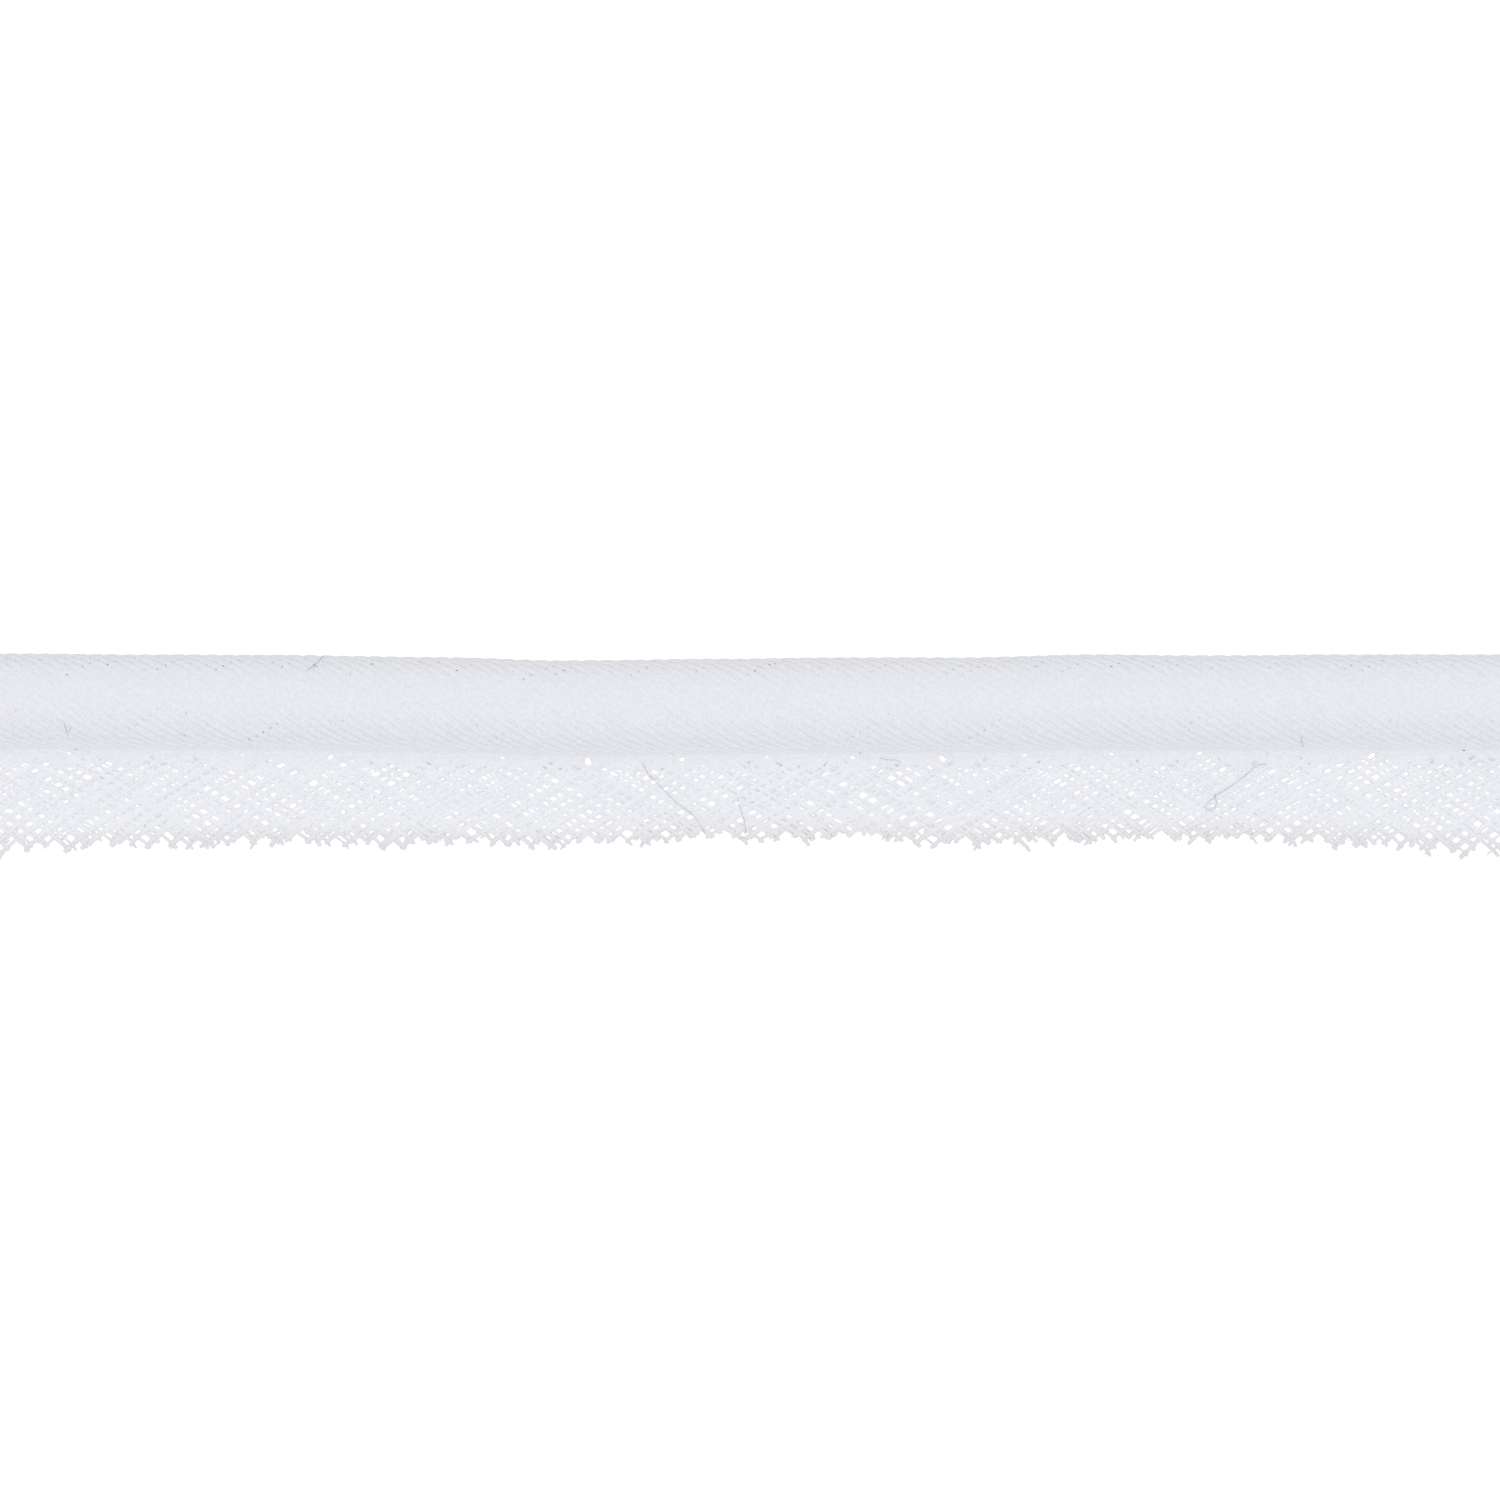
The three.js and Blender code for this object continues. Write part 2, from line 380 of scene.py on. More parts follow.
upper_band_end = crease_upper - band_width
lower_band_end = crease_lower + band_width - lower_band_shortening
held_tight = ease((node_v - upper_band_end) / hold_fade) * ease((lower_band_end - node_v) / hold_fade)
freedom = 1 + (wander_when_tight - 1) * held_tight
warp_wander, weft_wander = freedom * wander(1), freedom * wander(0)
slant = np.interp(node_v, path_v, path_slant)
node_u = node_u + (warp_wander - weft_wander) * np.cos(slant)
node_v = node_v + (warp_wander + weft_wander) * np.sin(slant)
print("threads wander up to", round(float(abs(warp_wander).max()) / mm, 3), "mm")

# %% [markdown]
# The raw edges
#
# The two raw edges lie on each other, and the upper one reaches a little further, so that many of
# the outermost cells are a single layer. Neither edge is straight, as threads have come away
# unevenly in handling.

# %% Trim the strip
upper_margin = 0.05 * mm
lower_margin = 0.27 * mm
slow_trim = 0.1 * mm
own_trim = 0.08 * mm
trim_steps = 201

trim_places = np.linspace(-half_length, half_length, trim_steps)


def trimmed(margin):
    """Where the last crossings of a layer lie, at every crossing's u."""
    cut = np.interp(node_u, trim_places, margin + slow_trim * smooth_noise((trim_steps,), 0, slow_reach))
    return along(node_u, "frayed_side") + cut + own_trim * rng.normal(size=shape)


upper_edge = upper_v(node_u, trimmed(upper_margin))
lower_edge = lower_v(node_u, trimmed(lower_margin))
kept = on_strip & (abs(node_u) < half_length) & (node_v > upper_edge) & (node_v < lower_edge)
print("crossings kept:", int(kept.sum()))

# %% [markdown]
# Threads of different shapes
#
# Yarn is soft. Loose at the raw edge it is round and thin, in the flange it is a little
# flattened, and where the seam presses it or the cord stretches it, it spreads until it closes
# the cloth. Low on the cord the warp stands out as fine slanting ridges, and round the side it
# shows as short dashes.
#
# Each state is a width, a thickness, how far the thread swings to pass over and under, and how
# far it stands out on the whole. All four are in millimetres, the warp first and then the weft.
# It is a plain weave, so each thread goes over one neighbour and under the next in turn.

# %% Measure the threads
Yarn = namedtuple("Yarn", "width thickness swing rise")
loose = (Yarn(0.19, 0.11, 0.05, 0), Yarn(0.2, 0.11, 0.05, 0))
open_weave = (Yarn(0.21, 0.06, 0.024, 0), Yarn(0.27, 0.06, 0.024, 0))
pushed_apart = (Yarn(0.18, 0.06, 0.024, 0), Yarn(0.22, 0.06, 0.024, 0))
pressed = (Yarn(0.46, 0.045, 0.008, 0), Yarn(0.62, 0.045, 0.008, 0))
ridged = (Yarn(0.33, 0.14, 0.016, 0.03), Yarn(0.64, 0.06, 0.014, 0))
tight = (Yarn(0.45, 0.07, 0.016, 0.004), Yarn(0.64, 0.06, 0.016, 0))
steep = (Yarn(0.345, 0.135, 0.028, 0.03), Yarn(0.57, 0.07, 0.022, 0))

zones = [
    (raw_upper + 0.3 * mm, loose),
    (raw_upper + 0.9 * mm, open_weave),
    (upper_band_end - 0.6 * mm, open_weave),
    (upper_band_end - 0.2 * mm, pushed_apart),
    (upper_band_end + 0.05 * mm, pushed_apart),
    (upper_band_end + 0.3 * mm, pressed),
    (crease_upper + 0.1 * mm, pressed),
    (crease_upper + 0.7 * mm, ridged),
    (crease_upper + 2.4 * mm, ridged),
    (cord_top - 0.1 * mm, tight),
    (cord_outermost - 2.2 * mm, tight),
    (cord_outermost - 1.5 * mm, steep),
    (cord_outermost + 0.5 * mm, steep),
    (cord_bottom, tight),
    (crease_lower - 1.0 * mm, ridged),
    (crease_lower - 0.1 * mm, pressed),
    (lower_band_end - 0.3 * mm, pressed),
    (lower_band_end - 0.05 * mm, pushed_apart),
    (lower_band_end + 0.2 * mm, pushed_apart),
    (lower_band_end + 0.6 * mm, open_weave),
    (raw_lower - 0.9 * mm, open_weave),
    (raw_lower - 0.3 * mm, loose),
]
zone_v = [v for v, yarns in zones]
warp, weft = 0, 1


def yarn(family, measure, v):
    """One measure of the warp or the weft, in metres, at the places v."""
    return np.interp(v, zone_v, [getattr(yarns[family], measure) * mm for place, yarns in zones])


own_width_spread = 0.1
slow_width_spread = 0.17
lump_spread = 0.15
evenness_when_tight = 0.85


def uneven_widths(family):
    """The widths of one set of threads, each with stretches and lumps of its own."""
    axis = 1 - family
    own = own_width_spread * per_thread(axis)
    slow = slow_width_spread * smooth_noise(shape, axis, slow_reach)
    lumps = lump_spread * rng.normal(size=shape)
    unevenness = (1 - evenness_when_tight * held_tight) * (own + slow + lumps)
    return yarn(family, "width", node_v) * np.exp(unevenness)


thread_numbers = np.arange(shape[0])[:, None] + np.arange(shape[1])
over = np.where(thread_numbers % 2 == 0, 1, -1)
warp_lifts = yarn(warp, "rise", node_v) + over * yarn(warp, "swing", node_v)
weft_lifts = yarn(weft, "rise", node_v) - over * yarn(weft, "swing", node_v)
warp_widths = uneven_widths(warp)
weft_widths = uneven_widths(weft)
print("warp width from", round(warp_widths.min() / mm, 3), "to", round(warp_widths.max() / mm, 3), "mm")

# %% [markdown]
# Needle holes
#
# The seam runs just beside the cord, with a stitch every 4.35 mm. The needle pushed the threads
# apart, and each hole has stayed a little open. A hole is made by moving the nearest cell of the
# weave to it in both layers, pushing the crossings round it outwards and thinning four of them.
# On the underside, where the needle came out, the holes are wider.

# %% Open the needle holes
first_stitch = -47.1 * mm
stitch_length = 4.35 * mm
stitch_unevenness = 0.1 * mm
seam_line_y = 0.05 * mm
seam_unevenness = 0.04 * mm
hole_reach = 0.75 * mm
hole_push = 0.11 * mm
hole_push_reach = 0.6 * mm
hole_thinning = 0.8
under_hole_push = 0.19 * mm
under_hole_thinning = 0.5

stitch_u = np.arange(first_stitch, half_length, stitch_length)
stitch_u = stitch_u + stitch_unevenness * rng.normal(size=len(stitch_u))
seam_wander = seam_unevenness * rng.normal(size=len(stitch_u))
stitch_y = seam_line_y + sway(stitch_u) + seam_wander
cell_corners = [(0, 0), (1, 0), (0, 1), (1, 1)]


def open_hole(hole_u, hole_v, strongest_push, thinning):
    """Moves the weave so that a cell lies at the hole, and opens that cell."""
    rows, columns = shape
    cell_u = sum(node_u[a : rows - 1 + a, b : columns - 1 + b] for a, b in cell_corners) / 4
    cell_v = sum(node_v[a : rows - 1 + a, b : columns - 1 + b] for a, b in cell_corners) / 4
    nearest = np.unravel_index(np.hypot(cell_u - hole_u, cell_v - hole_v).argmin(), cell_u.shape)
    middle_u, middle_v = cell_u[nearest], cell_v[nearest]
    pull = np.exp(-((np.hypot(node_u - middle_u, node_v - middle_v) / hole_reach) ** 4))
    shift_u, shift_v = hole_u - middle_u, hole_v - middle_v
    node_u[:] += pull * shift_u
    node_v[:] += pull * shift_v
    offset_u, offset_v = node_u - hole_u, node_v - hole_v
    distance = np.hypot(offset_u, offset_v)
    push = strongest_push * np.exp(-((distance / hole_push_reach) ** 2)) / distance
    node_u[:] += offset_u * push
    node_v[:] += offset_v * push
    for a, b in cell_corners:
        warp_widths[nearest[0] + a, nearest[1] + b] *= thinning
        weft_widths[nearest[0] + a, nearest[1] + b] *= thinning


for hole_u, hole_y in zip(stitch_u, stitch_y):
    open_hole(hole_u, upper_v(hole_u, hole_y), hole_push, hole_thinning)
    open_hole(hole_u, lower_v(hole_u, hole_y), under_hole_push, under_hole_thinning)
print("needle holes:", len(stitch_u))

# %% [markdown]
# Weaving
#
# A thread is a chain of rings. Two rings go between each two crossings, near enough to them to
# give the thread its flat crest over one neighbour and its dip under the next, and their lift
# follows a cosine, which is just as flat there.
#
# The cloth is divided into four parts at the creases and along the far side of the cord, and
# there a thread is cut at a crossing where it dives under another, which hides the cut. In the
# cover the warp and the weft are a piece each. Past its last crossing a thread runs on for a
# short way, and at a raw edge it bends outwards as it hangs loose.

# %% Weave one thread after the other
ring_share = 0.23
lift_share = (1 - math.cos(math.pi * ring_share)) / 2
end_length = 0.12 * mm
end_spread = 0.16 * mm
longest_spread = 2
least_bend, most_bend = -0.2, 1.2
end_taper = 0.85

splits = [crease_upper, (crease_upper + crease_lower) / 2, crease_lower]
piece_names = [
    ("flange_upper_layer", "flange_upper_layer"),
    ("cover_upper_warp", "cover_upper_weft"),
    ("cover_under_warp", "cover_under_weft"),
    ("flange_lower_layer", "flange_lower_layer"),
]
Tube = namedtuple("Tube", "centre up width thickness")
cloth_tubes = {name: [] for names in piece_names for name in names}


def with_rings_between(values, share):
    """The values at the crossings' ends and at two rings between each two crossings."""
    near = values[:-1] + (values[1:] - values[:-1]) * share
    far = values[:-1] + (values[1:] - values[:-1]) * (1 - share)
    return np.concatenate([values[:1], np.stack([near, far], 1).ravel(), values[-1:]])


def loose_end(u, v, at, beside):
    """Where a thread ends that runs on past its last crossing."""
    direction = np.array([u[at] - u[beside], v[at] - v[beside]])
    direction /= np.hypot(*direction)
    outwards = np.array([0.0, -1.0 if v[at] < crease_upper else 1.0])
    if direction @ outwards > 0:
        direction += outwards * rng.uniform(least_bend, most_bend)
        direction /= np.hypot(*direction)
    reach = end_length + end_spread * min(abs(rng.normal()), longest_spread)
    end = np.array([u[at], v[at]]) + direction * reach
    return np.clip(end[0], -half_length, half_length), end[1]


def lengthened(u, v, lift, width, at, beside):
    """The rings of a stretch with two more at its loose end, half way to its tip and there."""
    end_u, end_v = loose_end(u, v, at, beside)
    more = ((u, end_u, 0.5), (v, end_v, 0.5), (lift, 0, 0.5), (width, width[at] * end_taper, 0))
    columns = []
    for values, last, share in more:
        added = np.array([values[at] + (last - values[at]) * share, last])
        columns.append(np.concatenate([added[::-1], values] if at == 0 else [values, added]))
    return columns


def weave(index, family, lifts, widths):
    """Adds one thread's tubes, piece by piece. index picks its crossings from the grids."""
    order = np.flatnonzero(kept[index])
    for run in np.split(order, np.flatnonzero(np.diff(order) > 1) + 1):
        if len(run) < 2:
            continue
        u, v, lift, width = node_u[index][run], node_v[index][run], lifts[run], widths[run]
        piece = np.searchsorted(splits, v)
        cuts = [k if lift[k] < lift[k + 1] else k + 1 for k in np.flatnonzero(np.diff(piece))]
        bounds = sorted({0, *cuts, len(run) - 1})
        for first, last in zip(bounds[:-1], bounds[1:]):
            name = piece_names[piece[(first + last) // 2]][family]
            shade_row = [values[first : last + 1] for values in (u, v, lift, width)]
            shares = (ring_share, ring_share, lift_share, ring_share)
            rings = [with_rings_between(*pair) for pair in zip(shade_row, shares)]
            if first == 0:
                rings = lengthened(*rings, 0, 1)
            if last == len(run) - 1:
                rings = lengthened(*rings, -1, -2)
            ring_u, ring_v, ring_lift, ring_width = rings
            centre = on_cloth(ring_u, ring_v, ring_lift)
            thickness = yarn(family, "thickness", ring_v)
            cloth_tubes[name].append(Tube(centre, cloth_normal(ring_v), ring_width, thickness))


for i in range(shape[0]):
    weave((i, slice(None)), warp, warp_lifts[i], warp_widths[i])
for j in range(shape[1]):
    weave((slice(None), j), weft, weft_lifts[:, j], weft_widths[:, j])
print({name: len(tubes) for name, tubes in cloth_tubes.items()})

# %% [markdown]
# From tubes to meshes
#
# Numpy works out all the ring points of a piece, and one mesh is made from them. A ring has six
# points, set so that its top and bottom are flat, as pressed yarn is. The shading is smooth but
# for the edges that are sharper than 75 degrees, because smoothing those would leave dark marks.
# The UV map runs along each thread in millimetres and once round it, which later lets the fibres
# spiral round the thread.
#
# Two attributes are kept on the points for painted shade in the colour. One says how near a
# point is to the raw edge, where the loose threads are painted greyer. The other says how much
# painted shade greys the cloth, standing in for the light that comes through the thin flange
# from below: over the cord fully, along the stitches in part, and in the flange not at all.

# %% Make the cloth's meshes
ring_sides = 6
flatness = 0.4
sharpest_smooth_edge = math.radians(75)
longest_uv_shift = 50
raw_end_from = 1.5 * mm
raw_end_fade = 2.1 * mm
# Painted shade across the strip, in mm beside the seam: the cloth over the cord and the band along the
# stitches are greyed, the seam's crease, already in shade, less, and the flange not at all.
CordShade = namedtuple("CordShade", "beside_seam share")
cord_shade_rows = [
    CordShade(-0.85, 0.0),
    CordShade(-0.75, 0.4),
    CordShade(-0.4, 0.75),
    CordShade(-0.2, 0.55),
    CordShade(0, 0.1),
    CordShade(0.2, 0.3),
    CordShade(0.5, 1.0),
]
cord_shade_y = [seam_y + shade_row.beside_seam * mm for shade_row in cord_shade_rows]
cord_shade_amounts = [shade_row.share for shade_row in cord_shade_rows]


def ring_points(tube):
    """The points of a tube's rings, as an array of rings by sides by 3."""
    forward = np.gradient(tube.centre, axis=0)
    forward /= np.linalg.norm(forward, axis=1)[:, None]
    side = np.cross(forward, tube.up)
    side /= np.linalg.norm(side, axis=1)[:, None]
    up = np.cross(side, forward)
    turn = 2 * math.pi * np.arange(ring_sides) / ring_sides
    across = np.sign(np.cos(turn)) * abs(np.cos(turn)) ** flatness
    above = np.sin(turn) / np.sin(turn).max()
    side_part = side[:, None] * (tube.width[:, None] / 2 * across)[..., None]
    up_part = up[:, None] * (tube.thickness[:, None] / 2 * above)[..., None]
    return tube.centre[:, None] + side_part + up_part


def tube_uvs(rings):
    """The UV coordinates of a tube's side faces, corner by corner."""
    steps = np.linalg.norm(np.diff(rings[:, 0], axis=0), axis=1)
    run = rng.uniform(0, longest_uv_shift) + np.concatenate([[0], np.cumsum(steps)]) / mm
    around = np.arange(ring_sides + 1) / ring_sides
    grid = np.stack(np.meshgrid(run, around, indexing="ij"), -1)
    face_corners = [grid[:-1, :-1], grid[:-1, 1:], grid[1:, 1:], grid[1:, :-1]]
    return np.stack(face_corners, 2).reshape(-1, 2)


# Near the raw edge the loose threads get painted shade: this share greys their colour.
def raw_end_shade_share(points):
    """How near each point is to the raw edge, from 0 to 1."""
    from_edge = points[:, 1] - along(points[:, 0], "frayed_side")
    return ease((raw_end_from - from_edge) / raw_end_fade)


def cord_shade_share(points):
    """How much painted shade greys the cloth at each point, from 0 to 1."""
    return np.interp(points[:, 1] - sway(points[:, 0]), cord_shade_y, cord_shade_amounts)


def tube_mesh(name, tubes):
    """One object of many closed tubes."""
    points, sides, caps, uvs = [], [], [], []
    start = 0
    for tube in tubes:
        rings = ring_points(tube)
        ids = start + np.arange(len(rings) * ring_sides).reshape(-1, ring_sides)
        after = np.roll(ids, -1, axis=1)
        sides.append(np.stack([ids[:-1], after[:-1], after[1:], ids[1:]], -1).reshape(-1, 4))
        caps += [ids[0, ::-1].tolist(), ids[-1].tolist()]
        points.append(rings.reshape(-1, 3))
        uvs.append(tube_uvs(rings))
        start += ids.size
    uvs.append(np.zeros((len(caps) * ring_sides, 2)))
    mesh = bpy.data.meshes.new(name)
    all_points = np.concatenate(points)
    mesh.from_pydata(all_points.tolist(), [], np.concatenate(sides).tolist() + caps)
    # Both attributes set where painted shade greys the colour.
    for attribute, shares in (("raw_end", raw_end_shade_share), ("cord_shade", cord_shade_share)):
        values = shares(all_points)
        mesh.attributes.new(attribute, "FLOAT", "POINT").data.foreach_set("value", values)
    mesh.uv_layers.new(name="thread_uv").data.foreach_set("uv", np.concatenate(uvs).ravel())
    mesh.polygons.foreach_set("use_smooth", np.ones(len(mesh.polygons), bool))
    mesh.set_sharp_from_angle(angle=sharpest_smooth_edge)
    mesh.update()
    piece = bpy.data.objects.new(name, mesh)
    bpy.context.scene.collection.objects.link(piece)
    print(name, "threads:", len(tubes), "triangles:", sum(len(p.vertices) - 2 for p in mesh.polygons))
    return piece


cloth_pieces = {name: tube_mesh(name, tubes) for name, tubes in cloth_tubes.items()}

# %% [markdown]
# The seam
#
# A lockstitch has one thread on each side. Both dive into the needle holes and meet between the
# layers. Sewn tightly, they sink into the cloth, so all that shows of them is a faint line from
# hole to hole. Each stitch is a tube of its own here. It dips at its two ends and stops just
# short of the holes, so that they stay open.

# %% Sew the seam
stitch_diameter = 0.16 * mm
stitch_lift = -0.05 * mm
stitch_swell = 0.035 * mm
swell_reach = 0.6 * mm
hole_gap = 0.18 * mm
dive_length = 0.2 * mm
dive_depth = 0.08 * mm
stitch_rings = 24


def stitch_tubes(first, last):
    """One stitch from hole to hole on the upper side and one on the lower side."""
    u = np.linspace(stitch_u[first] + hole_gap, stitch_u[last] - hole_gap, stitch_rings)
    y = np.interp(u, stitch_u, stitch_y)
    from_end = np.minimum(u - u[0], u[-1] - u)
    swelling = stitch_swell * np.exp(-(((u - u[0] - swell_reach) / swell_reach) ** 2))
    lift = stitch_lift + swelling - dive_depth * (1 - ease(from_end / dive_length))
    width = np.full_like(u, stitch_diameter)
    tubes = []
    for v in (upper_v(u, y), lower_v(u, y)):
        tubes.append(Tube(on_cloth(u, v, lift), cloth_normal(v), width, width))
    return tubes


stitches = range(len(stitch_u) - 1)
seam_thread = tube_mesh("seam_thread", [tube for k in stitches for tube in stitch_tubes(k, k + 1)])

# %% [markdown]
# Fibres that settled on it
#
# Cotton trimmings pick up stray dark fibres, finer than any thread of the cloth. Each is drawn
# through a few points, in millimetres from the middle of the piping, and lies on the cloth.

# %% Lay a few stray fibres on the cloth
fibre_diameter = 0.011 * mm
fibre_lift = 0.15 * mm
fibre_step = 0.12
fewest_rings = 4
smoothings = 2
stray_lines = [
    [(-5.35, -0.4), (-5.2, -0.8), (-5.0, -1.05), (-4.3, -1.75)]
    + [(-3.75, -2.35), (-2.9, -2.95), (-2.5, -3.5), (-2.15, -4.2)],
    [(-0.6, -2.05), (-0.5, -2.7), (-0.3, -3.2), (-0.2, -3.9), (-0.35, -4.2), (-0.8, -4.35)],
    [(6.5, -0.12), (6.75, -0.23), (7.05, -0.26), (7.4, -0.2), (7.55, -0.4)],
    [(25.83, -0.47), (25.58, -0.42), (25.22, -0.61), (24.85, -0.98), (24.4, -1.35)]
    + [(23.85, -1.75), (23.37, -2.01), (23.0, -2.38), (22.78, -2.56), (22.9, -2.74)]
    + [(23.15, -2.78), (23.38, -2.65), (23.45, -2.38), (23.35, -2.1), (23.3, -1.9)],
    [(-21.25, 4.78), (-21.6, 4.35), (-22.0, 4.05)],
    [(-21.45, 4.2), (-21.75, 4.35)],
    [(-34.05, 1.6), (-33.93, 1.25), (-33.92, 0.98)],
    [(-33.7, 1.4), (-33.84, 1.2)],
    [(27.45, 0.95), (27.38, 0.75), (27.5, 0.55), (27.6, 0.5)],
    [(-27.97, 2.1), (-27.93, 1.98)],
    [(-28.15, 1.1), (-28.1, 0.98)],
    [(1.2, 4.4), (1.3, 4.35)],
]


def fibre_tube(line):
    """A smooth fine tube on the cloth through a line's points."""
    line = np.array(line) * mm
    steps = np.hypot(*np.diff(line, axis=0).T)
    run = np.concatenate([[0], np.cumsum(steps)])
    places = np.linspace(0, run[-1], max(fewest_rings, int(run[-1] / (fibre_step * mm))))
    u, y = (np.interp(places, run, line[:, axis]) for axis in (0, 1))
    for _ in range(smoothings):
        u[1:-1] = (u[:-2] + 2 * u[1:-1] + u[2:]) / 4
        y[1:-1] = (y[:-2] + 2 * y[1:-1] + y[2:]) / 4
    v = upper_v(u, y)
    width = np.full_like(u, fibre_diameter)
    return Tube(on_cloth(u, v, np.full_like(u, fibre_lift)), cloth_normal(v), width, width)


stray_fibres = tube_mesh("stray_fibres", [fibre_tube(line) for line in stray_lines])

# %% [markdown]
# The filler cord
#
# Inside is a soft cotton cord of three plies laid round each other, which the cover squeezes
# into a round. It shows only at the cut ends. Blender's Screw modifier is made for such a shape:
# it takes one outline across the cord and carries it along an axis while turning it.

# %% Draw the filler's outline
filler_radius = 2.2 * mm
outline_points = 60
groove_share = 0.98
groove_reach = 0.3 * mm

bpy.ops.object.select_all(action="DESELECT")
upright = (0, math.pi / 2, 0)
bpy.ops.mesh.primitive_circle_add(vertices=outline_points, radius=filler_radius, rotation=upright)
filler = bpy.context.object
filler.name = "filler"
bpy.ops.object.transform_apply(location=False, rotation=True, scale=False)
groove_angles = [math.pi / 2, math.pi * 7 / 6, math.pi * 11 / 6]
grooves = [Vector((0, filler_radius * math.cos(a), filler_radius * math.sin(a))) for a in groove_angles]
for vertex in filler.data.vertices:
    vertex.select = min((vertex.co - groove).length for groove in grooves) < groove_reach
bpy.ops.object.mode_set(mode="EDIT")
bpy.ops.mesh.select_mode(type="VERT")
bpy.ops.transform.resize(value=(1, groove_share, groove_share), center_override=(0, 0, 0))
bpy.ops.mesh.select_all(action="SELECT")
bpy.ops.transform.translate(value=(-half_length, 0, 0))
bpy.ops.object.mode_set(mode="OBJECT")
print("outline of", len(filler.data.vertices), "points")

# %% [markdown]
# The outline goes once round in 20 mm while it is carried along, which lays the three plies. What
# the modifier leaves is an open tube, so each end is closed with a face.

# %% Lay the plies and close the ends
ply_length = 20 * mm
filler_steps = 200

screw = filler.modifiers.new("lay", "SCREW")
screw.axis = "X"
screw.angle = 2 * math.pi * length / ply_length
screw.screw_offset = length
screw.steps = filler_steps
screw.render_steps = filler_steps
bpy.ops.object.modifier_apply(modifier="lay")
bpy.ops.object.mode_set(mode="EDIT")
bpy.ops.mesh.select_all(action="DESELECT")
bpy.ops.mesh.select_non_manifold()
bpy.ops.mesh.edge_face_add()
bpy.ops.mesh.select_all(action="SELECT")
bpy.ops.mesh.normals_make_consistent(inside=False)
bpy.ops.object.mode_set(mode="OBJECT")
print("filler:", len(filler.data.polygons), "faces")

# %% [markdown]
# The two ends are cut square, and the cotton swells a little where nothing holds it. There the
# grooves between the plies open too. Then the filler moves into its cover, following the sway of
# the cord.

# %% Shape the ends and move the filler into the cover
end_inset = 0.5 * mm
end_swell = 0.35 * mm
end_flare = 0.02
parting = 7.0
parting_length = 1.5 * mm
shallowest_groove, deepest_groove = 0.001, 0.1
facing_along = 0.99
sharpest_filler_edge = math.radians(40)

bpy.ops.object.mode_set(mode="EDIT")
bpy.ops.mesh.select_all(action="DESELECT")
bpy.ops.object.mode_set(mode="OBJECT")
for face in filler.data.polygons:
    face.select = abs(face.normal.x) > facing_along
bpy.ops.object.mode_set(mode="EDIT")
bpy.ops.mesh.select_mode(type="FACE")
bpy.ops.mesh.inset(thickness=end_inset, depth=0)
bpy.ops.transform.resize(value=(1 + end_swell / half_length, 1, 1), center_override=(0, 0, 0))
bpy.ops.mesh.inset(thickness=end_inset, depth=0)
bpy.ops.object.mode_set(mode="OBJECT")

places = np.empty(len(filler.data.vertices) * 3)
filler.data.vertices.foreach_get("co", places)
places = places.reshape(-1, 3)
near_end = ease((abs(places[:, 0]) - half_length) / parting_length + 1)
depth = 1 - np.hypot(places[:, 1], places[:, 2]) / filler_radius
grooved = (depth > shallowest_groove) & (depth < deepest_groove)
places[:, 1:] *= (1 - parting * near_end * depth * grooved)[:, None]
places[:, 1:] *= (1 + end_flare * near_end)[:, None]
places[:, 1] += cord_y + sway(places[:, 0])
places[:, 2] += cord_z
filler.data.vertices.foreach_set("co", places.ravel())
bpy.ops.object.shade_smooth_by_angle(angle=sharpest_filler_edge)
print("filler from x", round(places[:, 0].min() / mm, 2), "to", round(places[:, 0].max() / mm, 2), "mm")

# %% [markdown]
# A cut cotton cord shows a brush of short fibres. They stand on the two ends as fine tubes, and
# lean a little each way.

# %% Let fibres stand on the filler's ends
brush_fibres = 520
brush_length = 0.5 * mm
brush_lean = 0.45
brush_diameter = 0.045 * mm
brush_root_depth = 0.1 * mm
brush_rings = 4
shortest_share, longest_share = 0.5, 1.2
brush_up = (0.0, 0.3, 1.0)


def brush_fibre(end):
    """A short curved fibre on one end of the filler, end being -1 or 1."""
    distance = filler_radius * math.sqrt(rng.random())
    angle = rng.uniform(0, 2 * math.pi)
    root_x = end * (half_length - brush_root_depth)
    root = np.array([root_x, distance * math.cos(angle), distance * math.sin(angle)])
    root[1:] += cord_y + float(sway(np.array([root_x]))[0]), cord_z
    lean = rng.normal(size=2) * brush_lean
    reach = brush_length * rng.uniform(shortest_share, longest_share)
    share = np.linspace(0, 1, brush_rings)[:, None]
    straight = np.array([end, 0, 0]) * reach * share
    bent = np.array([0, *lean]) * reach * share**2
    width = np.full(brush_rings, brush_diameter)
    centre = root + straight + bent
    centre[:, 2] = np.maximum(centre[:, 2], brush_diameter)
    return Tube(centre, np.tile(brush_up, (brush_rings, 1)), width, width)


brush_tubes = [brush_fibre(end) for end in (-1, 1) for _ in range(brush_fibres)]
filler_brush = tube_mesh("filler_brush", brush_tubes)
